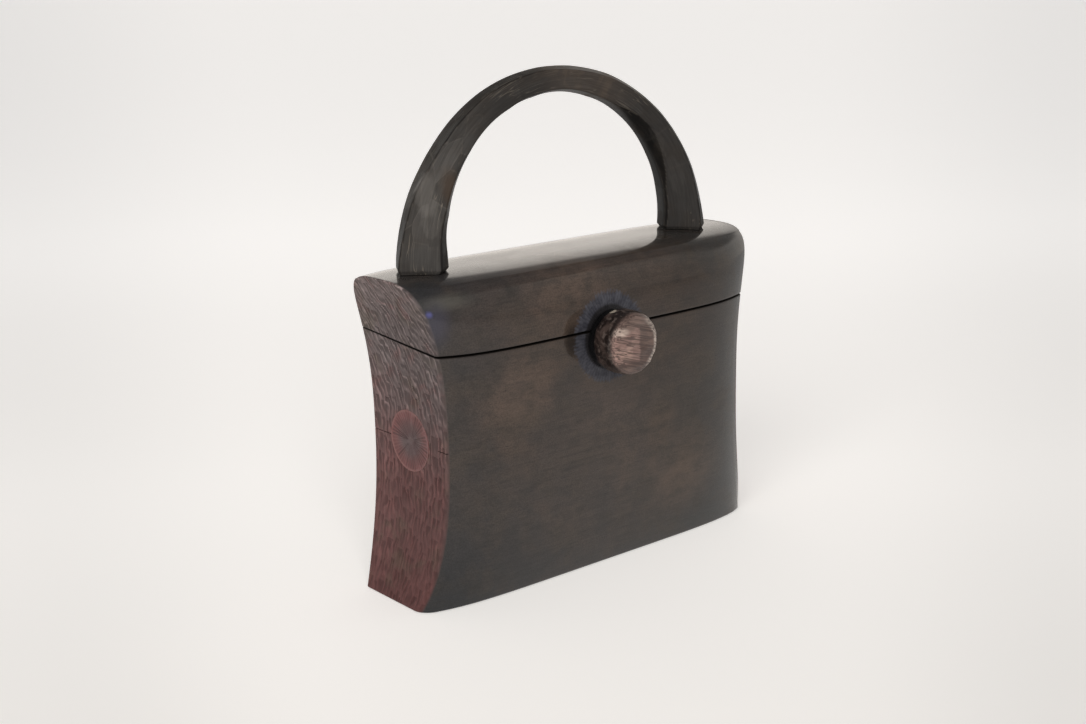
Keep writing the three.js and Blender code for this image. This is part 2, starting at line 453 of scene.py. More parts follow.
def lid_top(along, across, y):
    return dome_height(across) + end_tilt * along * abs(along) ** 7 - quarter_round(along, lid_end_ease)


settle(case_bm, 0.0, parting_height, lambda along, across, y: 0.0, case_top)
settle(lid_bm, parting_height, crown_height, lid_base, lid_top)
print("case rim at the front", round(case_top(0, 0, -parting_half_depth), 4))

# %% Hollows
end_wall = 0.009
side_wall = 0.008
case_floor = 0.009
lid_roof = 0.012


def hollow_block(bottom, top):
    bm = plain_block(bottom, top)
    cut_strips(bm, 0, 24)
    cut_strips(bm, 1, 8)
    cut_strips(bm, 2, 12)
    for vert in bm.verts:
        along = vert.co.x / waist_half_width
        across = vert.co.y / belly_half_depth
        z = vert.co.z
        x = along * (end_half_width(z) - end_wall)
        vert.co = (x, across * (half_depth(along, z) - side_wall), z)
    return bm


case_hollow = hollow_block(case_floor, parting_height + 0.008)
lid_hollow = hollow_block(parting_height - 0.01, crown_height - lid_roof)
print("hollows", len(case_hollow.faces), "and", len(lid_hollow.faces), "faces")

# %% [markdown]
# ## Turning a mesh into a piece
# A finished bmesh becomes an object that rides on its body and stands for its solid. Faces are shaded
# smooth, with hard edges kept only where two faces meet steeply. Cuts such as the beds of plugs and
# hinges are easiest with a Boolean, which is applied at once so that no modifier stays live.

# %% Piece helpers
def make_piece(name, bm, body, nodes, sharp=38):
    mesh = bpy.data.meshes.new(name)
    bm.to_mesh(mesh)
    bm.free()
    mesh.shade_smooth()
    mesh.set_sharp_from_angle(angle=math.radians(sharp))
    piece = bpy.data.objects.new(name, mesh)
    scene.collection.objects.link(piece)
    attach(piece, body)
    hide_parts(*nodes)
    print(name, len(mesh.polygons), "faces")
    return piece


def cut_away(bm, cutters):
    pair = []
    for name, source in (("blank", bm), ("cutters", cutters)):
        mesh = bpy.data.meshes.new(name)
        source.to_mesh(mesh)
        source.free()
        pair.append(bpy.data.objects.new(name, mesh))
        scene.collection.objects.link(pair[-1])
    blank, tool = pair
    saw = blank.modifiers.new("saw", "BOOLEAN")
    saw.operation = "DIFFERENCE"
    saw.solver = "EXACT"
    saw.object = tool
    shaped = blank.evaluated_get(bpy.context.evaluated_depsgraph_get())
    result = bmesh.new()
    result.from_mesh(shaped.to_mesh())
    shaped.to_mesh_clear()
    for spent in pair:
        bpy.data.meshes.remove(spent.data)
    return result


def add_rod(bm, radius, start, end, sides=64):
    start = Vector(start)
    end = Vector(end)
    turn = (end - start).to_track_quat("Z", "Y").to_matrix().to_4x4()
    place = Matrix.Translation((start + end) / 2) @ turn
    length = (end - start).length
    bmesh.ops.create_cone(
        bm, cap_ends=True, segments=sides, radius1=radius, radius2=radius, depth=length, matrix=place
    )


def add_block(bm, low, high):
    low = Vector(low)
    high = Vector(high)
    place = Matrix.Translation((low + high) / 2) @ Matrix.Diagonal((*(high - low), 1.0))
    bmesh.ops.create_cube(bm, size=1.0, matrix=place)


def spin_round(bm, centre, axis, angle, steps):
    closed = angle > 2 * math.pi - 0.01
    bmesh.ops.spin(
        bm, geom=bm.verts[:] + bm.edges[:], cent=centre, axis=axis, dvec=(0, 0, 0), angle=angle,
        steps=steps, use_merge=closed, use_duplicate=False
    )


print("piece helpers ready")

# %% [markdown]
# ## Case and lid
# The case gets a round bed for each plug, a bore for the knob's shaft, narrow drying cracks at the height of
# the plugs and beds for the hinge leaves. The lid needs only its hinge beds. The bed sizes come from
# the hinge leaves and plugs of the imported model, opened by a small gap.

# %% Case and lid
plug_low, plug_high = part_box("end_plug_left")
plug_height = (plug_low.z + plug_high.z) / 2
plug_radius = (plug_high.z - plug_low.z) / 2
knob_low, knob_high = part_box("knob")
knob_x = (knob_low.x + knob_high.x) / 2
knob_height = (knob_low.z + knob_high.z) / 2
bed_gap = 0.0003
plug_gap = 0.0001
crack_half = 0.00023
crack_bottom = 0.0955
past_end = 0.12
shaft_bore = 0.0033
case_cutters = bmesh.new()
for side in (-1, 1):
    inner = (side * (abs(plug_high.x) - bed_gap), 0, plug_height)
    add_rod(case_cutters, plug_radius + plug_gap, inner, (side * past_end, 0, plug_height))
    for span in ((-0.04, -0.0225), (plug_radius + bed_gap, 0.04)):
        low = (crack_bottom if side > 0 else -past_end, span[0], plug_height - crack_half)
        high = (past_end if side > 0 else -crack_bottom, span[1], plug_height + crack_half)
        add_block(case_cutters, low, high)
add_rod(case_cutters, shaft_bore, (knob_x, -0.05, knob_height), (knob_x, -0.02, knob_height))
lid_cutters = bmesh.new()
gap = Vector((bed_gap, bed_gap, bed_gap))
for hand_side in ("left", "right"):
    for node, cutters in (("hinge_case_leaf", case_cutters), ("hinge_lid_leaf", lid_cutters)):
        low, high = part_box(node + "_" + hand_side)
        add_block(cutters, low - gap, high + gap)
case_bm = cut_away(cut_away(case_bm, case_hollow), case_cutters)
lid_bm = cut_away(cut_away(lid_bm, lid_hollow), lid_cutters)
print("open edges", open_edges(case_bm), "on the case and", open_edges(lid_bm), "on the lid")
case = make_piece("case_shell", case_bm, "case_body", ["case"])
lid = make_piece("lid_shell", lid_bm, "lid_body", ["lid"])

# %% [markdown]
# ## Where the tools went
# The finish has to know which faces were gouged and which are hidden inside. This is written on the
# vertices as attributes, measured from the finished shape: how close a point is to the end surface, how
# deep it lies in a cut, whether it is on a ridge, in the hollow or on the dark joint of case and lid.

# %% Tool attributes
def write_attributes(piece, marks):
    for name, values in marks.items():
        layer = piece.data.attributes.new(name, "FLOAT", "POINT")
        layer.data.foreach_set("value", values)
        print(piece.name, name, round(sum(values)))


def mark_tooling(piece, low_z, high_z, joint_at):
    marks = {"tooled": [], "cut_depth": [], "cut_crest": [], "hollow": [], "joint": []}
    for vert in piece.data.vertices:
        x, y, z = vert.co
        reach = end_half_width(min(max(z, 0.0), crown_height))
        side = half_depth(x / reach, z)
        to_edge = ease(side + y, 0.0003, 0.0026)
        marks["tooled"].append(ease(abs(x), reach - 0.0018, reach - 0.001) * (0.45 + 0.55 * to_edge))
        on_face = abs(x) > reach - 0.0012 and abs(y) < side - 0.0005
        push, crest = gouged(y, z, gouge_start(x)) if on_face else (0.0, 0.0)
        marks["cut_depth"].append(ease(push / cut_depth, -0.4, 0.36))
        marks["cut_crest"].append(crest)
        inner = min(reach - abs(x), side - abs(y), z - low_z, high_z - z)
        marks["hollow"].append(1.0 if inner > 0.0045 else 0.0)
        marks["joint"].append(ease(abs(z - joint_at(0, 0, y)), 0.00042, 0.00008))
    write_attributes(piece, marks)


mark_tooling(case, 0.0, 1.0, case_top)
mark_tooling(lid, -1.0, crown_height, lid_base)

# %% [markdown]
# ## Handle
# The handle is one bent bar, thick at the feet and slim at the top, whittled with a knife into long flat
# facets. A circle spun through half a turn gives an even ring of sections. Each section is then cut by six
# knife planes that twist along the arch, and a seventh that only bites under the right shoulder. Every plane
# is broken into strokes, leaf-shaped scoops cross them, and the last millimetre above the lid is undercut,
# which draws the dark line under each foot.

# %% Handle: sizes and strokes
arch_half_span = 0.08575
arch_rise = 0.083
arch_lean = -0.0031
arch_foot = 0.1592
foot_gap = 0.0003
foot_half = (0.0107, 0.0133)
crown_half = (0.0063, 0.007)
front_plane = 90
outer_plane = 5
shoulder_plane = 129
knife_planes = (outer_plane, front_plane, 160, 215, 270, 325, shoulder_plane)
# Painted light: the facet facing the front is much lighter and the facet facing the back a little lighter
# than the others.
plane_shading = (0.0, 0.85, 0.0, 0.0, 0.3, 0.0, 0.0)
foot_twist = 43
whole_twist = 7
arch_length = 0.265
scoops = (
    (0.868, -6, 0.056, 27, 0.0006), (0.8, 4, 0.036, 24, 0.0005), (0.915, 12, 0.03, 22, 0.00045),
    (0.735, -8, 0.042, 22, 0.0004), (0.125, -4, 0.05, 27, 0.0004), (0.215, 8, 0.036, 22, 0.00045),
    (0.47, 6, 0.05, 24, 0.00035), (0.59, -4, 0.046, 22, 0.00035), (0.33, -8, 0.05, 24, 0.0004),
)
strokes = {}
hand = random.Random(5)
for plane, plane_shade in zip(knife_planes, plane_shading):
    ends = [0.0]
    while ends[-1] < 1.0:
        ends.append(ends[-1] + hand.uniform(0.07, 0.15))
    spans = zip(ends, ends[1:])
    strokes[plane] = [(a, b, hand.uniform(0.1, 0.9), plane_shade + hand.uniform(0.0, 0.15)) for a, b in spans]
print("knife strokes", sum(len(row) for row in strokes.values()))

# %% Handle: sections
corner_power = 1.714
ridge_power = 18


def twisted(plane, share):
    return plane + whole_twist + foot_twist * (1 - 2 * share)


def knife_cut(plane, share):
    for begin, end, bite, tone in strokes[plane]:
        if begin <= share <= end:
            inside = 2 * (share - begin) / (end - begin) - 1
            to_end = (1 - abs(inside)) * (end - begin) * arch_length / 2
            return 0.0006 * bite * (1 - inside * inside), tone, bite * math.exp(-to_end / 0.0004)
    return 0.0, 0.5, 0.0


def section_radius(share, around):
    at_shoulder = math.exp(-((share - 0.245) / 0.115) ** 2)
    to_foot = min(1.0, abs(2 * share - 1)) ** 1.7
    half_width = crown_half[0] + (foot_half[0] - crown_half[0]) * to_foot
    half_thick = crown_half[1] + (foot_half[1] - crown_half[1]) * to_foot
    reaches = []
    for plane in knife_planes:
        facing = math.radians(twisted(plane, share))
        open_side = math.cos(around - facing)
        if open_side > 0.15:
            span = (half_width * abs(math.cos(facing))) ** corner_power
            span += (half_thick * abs(math.sin(facing))) ** corner_power
            bite, tone, stroke_end = knife_cut(plane, share)
            pared = 0.93 if plane == front_plane else 1.0
            if plane == outer_plane:
                bite += 0.001 * math.exp(-((share - 0.8) / 0.06) ** 2)
            if plane == shoulder_plane:
                bite += 0.0042 * at_shoulder - 0.003
            reaches.append(((pared * span ** (1 / corner_power) - bite) / open_side, tone, stroke_end))
    reaches.sort()
    nearest = reaches[0][0]
    soft = sum((nearest / reach[0]) ** ridge_power for reach in reaches)
    ridge = (1 - 0.8 * at_shoulder) * math.exp(-(reaches[1][0] - nearest) / 0.00014)
    return 0.983 * nearest * soft ** (-1 / ridge_power), max(ridge, 0.5 * reaches[0][2]), reaches[0][1]


def scoop_cut(share, around):
    cut = 0.0
    rim = 0.0
    for at_share, at_turn, reach, width, depth in scoops:
        aside = (math.degrees(around) - twisted(front_plane, share) - at_turn) / width
        inside = 1 - abs((share - at_share) / reach) ** 1.3 - aside * aside
        inside += 0.3 * noise.noise(Vector((share * 60, around * 2.5, at_share * 9)))
        cut = max(cut, depth * inside)
        if share < at_share:
            rim = max(rim, math.exp(-abs(inside) / 0.05) * ease(share, 0.45, 0.75))
    return cut, rim


print("section at the crown", round(section_radius(0.5, 0.0)[0] * 1000, 1), "mm")

# %% Handle: mesh
handle_bm = bmesh.new()
start = Matrix.Translation((arch_half_span, 0, arch_foot))
bmesh.ops.create_circle(handle_bm, segments=128, radius=0.008, matrix=start)
spin_round(handle_bm, (0, 0, arch_foot), (0, -1, 0), math.pi, 420)
rims = [e for e in handle_bm.edges if e.is_boundary]
bmesh.ops.holes_fill(handle_bm, edges=rims, sides=0)
bmesh.ops.recalc_face_normals(handle_bm, faces=handle_bm.faces)
marks = {"ridge": [], "stroke_shade_and_tone": [], "scooped": [], "along_arch": []}
for vert in handle_bm.verts:
    turn = math.atan2(vert.co.z - arch_foot, vert.co.x)
    turn = min(max(turn, 0.0), math.pi) if turn > -1.0 else math.pi
    outward = math.hypot(vert.co.x, vert.co.z - arch_foot) - arch_half_span
    around = math.atan2(-vert.co.y, outward)
    radius, ridge, tone = section_radius(turn / math.pi, around)
    cut, rim = scoop_cut(turn / math.pi, around)
    radius -= max(cut, 0.0) + 0.0012 * ease(arch_rise * math.sin(turn), 0.0016, 0.0002)
    across = Vector((math.cos(turn) / arch_half_span, 0, math.sin(turn) / arch_rise)).normalized()
    shoulder = 0.0011 * max(math.sin(2 * turn), 0.0)
    centre = Vector((arch_half_span * math.cos(turn) + arch_lean * math.sin(turn) + shoulder, 0, 0))
    centre.z = arch_foot + arch_rise * math.sin(turn)
    vert.co = centre + across * radius * math.cos(around) - Vector((0, radius * math.sin(around), 0))
    near_foot = ease(math.sin(turn), 0.22, 0.0)
    along = vert.co.x / end_half_width(shoulder_height)
    dome_share = abs(vert.co.y) / half_depth(along, shoulder_height)
    vert.co.z += near_foot * (lid_top(along, dome_share, 0) + foot_gap - arch_foot)
    marks["ridge"].append(max(0.6 * ridge, 0.55 * rim))
    marks["stroke_shade_and_tone"].append(tone)
    marks["scooped"].append(min(max(cut, 0.0) / 0.00014, 1.0))
    marks["along_arch"].append(turn / math.pi * arch_length)
print("handle", open_edges(handle_bm), "open edges")
handle = make_piece("arched_handle", handle_bm, "lid_body", ["handle"], 60)
write_attributes(handle, marks)

# %% [markdown]
# ## Knob
# The knob is a short fat peg with a flat worn face, a dark waist behind its head and a shaft through the
# front wall. The head's outline is subdivided to a smooth curve, the whole outline is spun round the shaft,
# and small vertex moves leave the faint flats and the uneven rim of a piece that was finished by hand.

# %% Knob
knob_face = knob_low.y
knob_outline = (
    (0.0, knob_face + 0.0001), (0.0062, knob_face), (0.0112, knob_face + 0.0003),
    (0.0138, knob_face + 0.0011), (0.015, knob_face + 0.0024), (0.0156, knob_face + 0.0044),
    (0.0158, knob_face + 0.009), (0.0157, -0.044), (0.0152, -0.0427), (0.0147, -0.0421), (0.0146, -0.0405),
    (0.0145, -0.0384), (0.003, -0.0383), (0.003, -0.0293), (0.0046, -0.0293),
    (0.0046, knob_high.y), (0.0, knob_high.y),
)
knob_bm = bmesh.new()
outline = [knob_bm.verts.new((knob_x, y, knob_height + r)) for r, y in knob_outline]
for one, two in zip(outline, outline[1:]):
    knob_bm.edges.new((one, two))
bmesh.ops.subdivide_edges(knob_bm, edges=knob_bm.edges[:9], cuts=5, smooth=0.5)
spin_round(knob_bm, (knob_x, 0, knob_height), (0, 1, 0), 2 * math.pi, 144)
bmesh.ops.remove_doubles(knob_bm, verts=knob_bm.verts, dist=1e-6)
bmesh.ops.recalc_face_normals(knob_bm, faces=knob_bm.faces)
for vert in knob_bm.verts:
    arm = Vector((vert.co.x - knob_x, 0, vert.co.z - knob_height))
    if arm.length > 0.009 and vert.co.y < -0.0415:
        turn = math.atan2(arm.z, arm.x)
        flat = (turn / (2 * math.pi) * 15) % 1.0 - 0.5
        rough = noise.noise(Vector((math.cos(turn) * 2.4, vert.co.y * 190, math.sin(turn) * 2.4)))
        arm *= 1 - 0.03 * (0.25 - flat * flat) + 0.016 * rough
        vert.co.x = knob_x + arm.x
        vert.co.z = knob_height + arm.z
    if vert.co.y < knob_face + 0.003:
        vert.co.y += 0.0005 * noise.noise(Vector((vert.co.x * 90, 1.0, vert.co.z * 300)))
print("knob", open_edges(knob_bm), "open edges")
knob = make_piece("turning_knob", knob_bm, "knob_body", ["knob"], 50)

# %% [markdown]
# ## End plugs
# A round plug is let into each end. Its face is slightly dished and carries fine cuts that run from the
# middle to near the edge. A spun outline gives the disc, and the cuts are pushed in along the radius.

# %% End plugs
plug_face = abs(plug_low.x)
plug_back = abs(plug_high.x)
hand = random.Random(23)
ray_count = 46
ray_depths = [hand.uniform(0.4, 1.0) for ray in range(ray_count)]
ray_reaches = [hand.uniform(-0.0009, 0.0002) for ray in range(ray_count)]


def ray_cut(turn, radius):
    place = (turn / (2 * math.pi) % 1.0) * ray_count
    inside = 2 * (place % 1.0) - 1
    ray = int(place) % ray_count
    edge = plug_radius + ray_reaches[ray]
    reach = ease(radius, 0.0008, 0.004) * ease(radius, edge, edge - 0.0012)
    return ray_depths[ray] * (1 - inside * inside) * reach


def plug_relief(radius):
    return 0.0006 * (1 - (radius / plug_radius) ** 2)


plugs = []
for side, node in ((-1, "end_plug_left"), (1, "end_plug_right")):
    bm = bmesh.new()
    corners = ((0.0, plug_face), (plug_radius, plug_face), (plug_radius, plug_back), (0.0, plug_back))
    outline = [bm.verts.new((side * x, 0, plug_height + r)) for r, x in corners]
    lines = [bm.edges.new(pair) for pair in zip(outline, outline[1:])]
    bmesh.ops.subdivide_edges(bm, edges=lines[:1], cuts=40)
    spin_round(bm, (0, 0, plug_height), (1, 0, 0), 2 * math.pi, ray_count * 6)
    bmesh.ops.remove_doubles(bm, verts=bm.verts, dist=1e-7)
    bmesh.ops.recalc_face_normals(bm, faces=bm.faces)
    grooves = []
    for vert in bm.verts:
        radius = math.hypot(vert.co.y, vert.co.z - plug_height)
        groove = 0.0
        if abs(vert.co.x) > plug_face - 0.0003:
            groove = ray_cut(math.atan2(vert.co.z - plug_height, vert.co.y), radius)
            vert.co.x -= side * (plug_relief(radius) + 0.0003 * groove)
        grooves.append(groove)
    print(node, open_edges(bm), "open edges")
    plugs.append(make_piece("rayed_" + node, bm, "case_body", [node], 60))
    write_attributes(plugs[-1], {"ray_depth": grooves})

# %% [markdown]
# ## Shared effects
# Three effects return on several woods: streaks of long grain, clouds of uneven stain and thin rub marks.
# Each is a node group with named sockets, placed in a material with its own values. The groups
# only put out masks, and the shader stays in the material.

# %% Group helpers
def new_group(name, inputs, outputs):
    group = bpy.data.node_groups.new(name, "ShaderNodeTree")
    for label, kind, value in inputs:
        socket = group.interface.new_socket(label, in_out="INPUT", socket_type=kind)
        if value is not None:
            socket.default_value = value
    for label in outputs:
        group.interface.new_socket(label, in_out="OUTPUT", socket_type="NodeSocketFloat")
    entry = group.nodes.new("NodeGroupInput").outputs
    leave = group.nodes.new("NodeGroupOutput").inputs
    return group, entry, leave


def stretched(vector, stretch):
    made = add("ShaderNodeVectorMath", {0: vector, 1: stretch}, operation="MULTIPLY")
    return made.outputs[0]


def noise_value(vector, scale, detail=4.0, rough=0.55, warp=0.0):
    feeds = {"Vector": vector, "Scale": scale, "Detail": detail, "Roughness": rough, "Distortion": warp}
    return add("ShaderNodeTexNoise", feeds).outputs[0]


print("group helpers ready")

# %% Shared effects
VECTOR = "NodeSocketVector"
FLOAT = "NodeSocketFloat"
long_grain, entry, leave = new_group(
    "long_grain", [("Vector", VECTOR, None), ("Fineness", FLOAT, 600.0)], ["Streak", "Pore"]
)
tree = long_grain
drawn_out = stretched(entry["Vector"], (0.045, 1.0, 1.0))
feed(leave["Streak"], noise_value(drawn_out, entry["Fineness"], 5.0, 0.6))
finer = times(entry["Fineness"], 2.7)
flecks = noise_value(stretched(drawn_out, (1.3, 1.0, 1.0)), finer, 2.0)
feed(leave["Pore"], soft_step(flecks, 0.58, 0.72))
stain_cloud, entry, leave = new_group(
    "stain_cloud",
    [("Vector", VECTOR, None), ("Scale", FLOAT, 20.0), ("Low", FLOAT, 0.4), ("High", FLOAT, 0.6)],
    ["Cloud"],
)
tree = stain_cloud
puffs = noise_value(entry["Vector"], entry["Scale"], 4.0, 0.55, 0.4)
feed(leave["Cloud"], soft_step(puffs, entry["Low"], entry["High"]))
rub_marks, entry, leave = new_group(
    "rub_marks", [("Vector", VECTOR, None), ("Scale", FLOAT, 300.0), ("Width", FLOAT, 0.02)], ["Mark"]
)
tree = rub_marks
line = noise_value(stretched(entry["Vector"], (0.05, 1.0, 1.0)), entry["Scale"], 1.0)
off_line = work_out("ABSOLUTE", work_out("SUBTRACT", line, 0.5))
broken = soft_step(noise_value(entry["Vector"], 60.0, 2.0), 0.5, 0.62)
thin = soft_step(off_line, entry["Width"], 0.0)
feed(leave["Mark"], times(thin, broken))
print("groups", long_grain.name, stain_cloud.name, rub_marks.name)

# %% [markdown]
# ## A new finish
# A finish starts the same way each time: a material with its shader, the object coordinates, and ways to
# place a group, read an attribute or paint a spot. Bump is added last, so that fine grain tilts the light a
# little, and then the pieces are dressed.

# %% Start of a finish
def new_finish(name):
    finish = bpy.data.materials.new(name)
    finish.use_nodes = True
    nodes = finish.node_tree.nodes
    where = nodes.new("ShaderNodeTexCoord").outputs["Object"]
    return finish, finish.node_tree, nodes["Principled BSDF"], where


def effect(group, **feeds):
    made = tree.nodes.new("ShaderNodeGroup")
    made.node_tree = group
    fill(made, feeds)
    return made.outputs


def clouds(where, scale, low, high):
    return effect(stain_cloud, Vector=where, Scale=scale, Low=low, High=high)["Cloud"]


def read_attribute(name):
    return add("ShaderNodeAttribute", attribute_name=name).outputs["Fac"]


def add_bump(shader, height, strength, distance):
    feeds = {"Height": height, "Strength": strength, "Distance": distance}
    bump = add("ShaderNodeBump", feeds)
    feed(shader.inputs["Normal"], bump.outputs[0])


def distance_to(where, point, stretch):
    shifted = add("ShaderNodeVectorMath", {0: where, 1: point}, operation="SUBTRACT").outputs[0]
    scaled = stretched(shifted, stretch)
    return add("ShaderNodeVectorMath", {0: scaled}, operation="LENGTH").outputs["Value"]


def spot_at(where, point, stretch, far, near, share=1.0):
    return soft_step(distance_to(where, point, stretch), far, near, 0.0, share)


def dress(finish, *pieces):
    for piece in pieces:
        piece.data.materials.clear()
        piece.data.materials.append(finish)
        print(finish.name, "on", piece.name)


print("finish helpers ready")

# %% [markdown]
# ## Dark wood of the case and lid
# The long sides are stained almost black and polished. Brown shows through in clouds towards the middle,
# with fine level grain. The gouged ends are dull and red-brown, greyer at the top. A blue-grey ring of tool
# marks surrounds the knob and crosses the parting line, so it is painted from coordinates on both pieces.

# %% Dark wood: polished sides
wood, tree, shader, where = new_finish("dark_wood")
at_x, at_y, at_z = axes(where)
streak, pore = effect(long_grain, Vector=where, Fineness=900.0)
broad = clouds(where, 16.0, 0.38, 0.6)
small = clouds(where, 60.0, 0.42, 0.66)
level = stretched(where, (0.6, 1.0, 1.0))
tiny = clouds(level, 170.0, 0.4, 0.66)
middle = spot_at(where, (-0.012, 0.0, 0.086), (1.0, 0.0, 1.0), 0.125, 0.03)
warmth = times(middle, soft_step(broad, 0.0, 1.0, 0.55, 1.0))
sides = blend(warmth, (0.0172, 0.0171, 0.0176), (0.047, 0.0318, 0.023))
warm_spots = (
    (-0.06, 0.099, 0.026, 0.55), (-0.036, 0.146, 0.024, 0.45), (0.05, 0.036, 0.03, 0.45),
    (-0.004, 0.078, 0.03, 0.2), (0.03, 0.15, 0.02, 0.2), (-0.014, 0.15, 0.022, 0.28),
    (-0.07, 0.138, 0.03, 0.2), (-0.015, 0.1535, 0.016, 0.35),
)
for x, z, reach, share in warm_spots:
    to_spot = distance_to(where, (x, 0.0, z), (0.75, 0.0, 1.0))
    frayed = nudged(to_spot, small, 0.3 * reach)
    spot = soft_step(frayed, reach, 0.1 * reach, 0.0, share)
    sides = blend(spot, sides, (0.08, 0.052, 0.037))
shade = spot_at(where, (0.052, 0.0, 0.122), (0.8, 0.0, 1.0), 0.042, 0.008, 0.45)
sides = blend(shade, sides, (0.022, 0.014, 0.011))
sides = stained(sides, small, 0.38, (0.044, 0.032, 0.023))
sides = stained(sides, tiny, 0.32, (0.013, 0.0125, 0.0115))
sides = tinted(sides, soft_step(streak, 0.3, 0.7, 0.92, 1.08))
# Painted shade: the sides are painted darker towards the foot, near the floor.
sides = tinted(sides, soft_step(at_z, 0.0, 0.045, 0.8, 1.0))
wisps = effect(rub_marks, Vector=where, Scale=95.0, Width=0.035)["Mark"]
sides = stained(sides, wisps, 0.28, (0.01, 0.009, 0.008))
weave = noise_value(where, 1500.0, 2.0)
sides = tinted(sides, soft_step(weave, 0.35, 0.65, 0.86, 1.14))
sides = stained(sides, pore, 0.4, (0.006, 0.005, 0.004))
print("polished sides ready")

# %% Dark wood: ring and blue spot
ring_height = knob_height + 0.0008
ring_radius = 0.0222
ring_reach = distance_to(where, (knob_x, 0.0, ring_height), (1.0, 0.0, 1.0))
ring_across = work_out("SUBTRACT", at_x, knob_x)
ring_up = work_out("SUBTRACT", at_z, ring_height)
ring_turn = work_out("ARCTAN2", ring_up, ring_across)
ragged = noise_value(where, 320.0, 3.0)
ring_lines = work_out("SINE", nudged(times(ring_turn, 70.0), ragged, 9.0))
uneven = times(work_out("SUBTRACT", ragged, 0.5), 0.005)
toothed = nudged(uneven, ring_lines, 0.0004)
ring_inside = work_out("SUBTRACT", toothed, work_out("SUBTRACT", ring_reach, ring_radius))
in_front = soft_step(at_y, -0.02, -0.028)
ring = times(soft_step(ring_inside, -0.0016, 0.0012), in_front)
ring_colour = blend(soft_step(ragged, 0.35, 0.65), (0.029, 0.03, 0.039), (0.051, 0.052, 0.063))
ring_colour = tinted(ring_colour, soft_step(ring_lines, -1.0, 1.0, 0.88, 1.1))
ring_colour = tinted(ring_colour, soft_step(ring_up, 0.004, 0.022, 1.0, 1.3))
# Painted shade: the ring turns almost black right round the knob's neck, under its head.
painted_shade_under_knob = soft_step(ring_reach, 0.0168, 0.0152, 0.0, 0.8)
ring_colour = blend(painted_shade_under_knob, ring_colour, (0.005, 0.005, 0.005))
# A tint and then the colour added to itself lift the stain by about a quarter.
sides = tinted(sides, (0.61, 0.625, 0.66))
sides = blend(1.0, sides, sides, "ADD")
warmer = tinted(sides, (1.0, 0.94, 0.84))
sides = blend(soft_step(at_x, 0.0, 0.06), sides, warmer)
# Painted shade: a dark patch left of the knob's ring, where shade falls beside the knob.
painted_shade_beside_knob = spot_at(where, (-0.0252, 0.0, 0.1215), (1.4, 0.0, 0.8), 0.0095, 0.003, 0.6)
sides = blend(painted_shade_beside_knob, sides, (0.006, 0.005, 0.005))
sides = stained(sides, ring, 0.92, ring_colour)
# Painted highlight: a soft olive-grey sheen on the left shoulder of the lid.
shoulder = spot_at(where, (-0.095, -0.03, 0.1496), (0.27, 0.8, 1.2), 0.0066, 0.0006, 0.62)
shoulder = times(shoulder, soft_step(tiny, 0.0, 1.0, 1.0, 0.65))
sides = blend(shoulder, sides, (0.075, 0.071, 0.061))
# A small bright blue spot with a bluish halo is painted near the front left corner of the lid.
blue = spot_at(where, (-0.1, -0.0302, 0.14), (1.0, 1.0, 0.6), 0.0095, 0.001)
sides = stained(sides, blue, 0.5, (0.042, 0.04, 0.062))
spot_reach = distance_to(where, (-0.1029, -0.0288, 0.145), (1.0, 1.0, 1.0))
spot_reach = nudged(spot_reach, ragged, 0.0022)
spot = soft_step(spot_reach, 0.0036, 0.0012)
sides = stained(sides, spot, 0.9, (0.082, 0.085, 0.23))
print("ring and blue stain ready")

# %% Dark wood: gouged ends
tooled = read_attribute("tooled")
depth = read_attribute("cut_depth")
wander = noise_value(where, 26.0, 3.0)
raised = nudged(at_z, wander, 0.06)
ends = blend(soft_step(raised, 0.08, 0.15), (0.106, 0.053, 0.051), (0.114, 0.093, 0.092))
ends = blend(soft_step(at_z, 0.04, 0.0), ends, (0.094, 0.042, 0.04))
high_up = soft_step(at_z, 0.135, 0.155)
ends = stained(ends, high_up, 0.7, (0.168, 0.134, 0.13))
olive = clouds(where, 70.0, 0.52, 0.7)
ends = stained(ends, olive, 0.35, (0.085, 0.07, 0.05))
rosy = clouds(where, 110.0, 0.5, 0.68)
ends = stained(ends, rosy, 0.3, (0.15, 0.068, 0.064))
upright = add("ShaderNodeMapping", {"Vector": where, "Rotation": (0.0, math.pi / 2, 0.0)}).outputs[0]
end_streak = effect(long_grain, Vector=upright, Fineness=900.0)["Streak"]
ends = tinted(ends, soft_step(end_streak, 0.3, 0.7, 0.86, 1.14))
crest = read_attribute("cut_crest")
# Painted shade and highlight: the gouge grooves are painted darker and their ridges paler, more so higher
# up.
ends = tinted(ends, soft_step(depth, 0.3, 1.0, 1.0, 0.66))
crest_highlight = soft_step(at_z, 0.04, 0.125, 1.4, 1.85)
ends = tinted(ends, soft_step(crest, 0.2, 0.9, 0.95, crest_highlight))
ends = tinted(ends, soft_step(at_y, 0.002, 0.022, 1.0, 1.18))
colour = blend(tooled, sides, ends)
print("gouged ends ready")

# %% Dark wood: hollow, joint and shine
hollow = read_attribute("hollow")
lining = blend(streak, (0.03, 0.019, 0.012), (0.06, 0.038, 0.024))
colour = blend(hollow, colour, lining)
joint = read_attribute("joint")
rim_wood = blend(streak, (0.003, 0.0028, 0.0026), (0.011, 0.0085, 0.007))
colour = blend(joint, colour, rim_wood)
dull = work_out("MAXIMUM", work_out("MAXIMUM", tooled, hollow), joint)
dull = work_out("MAXIMUM", dull, times(ring, 0.7))
shine = soft_step(small, 0.0, 1.0, 0.42, 0.52)
rough = add("ShaderNodeMix", {0: dull, 2: shine, 3: 0.62}, data_type="FLOAT").outputs[0]
varnish = soft_step(dull, 0.0, 1.0, 1.0, 0.06)
fill(shader, {"Base Color": colour, "Roughness": rough, "Specular IOR Level": 0.1})
fill(shader, {"Coat Weight": varnish, "Coat Roughness": 0.05, "Coat IOR": 1.34})
fine = nudged(streak, pore, -0.6)
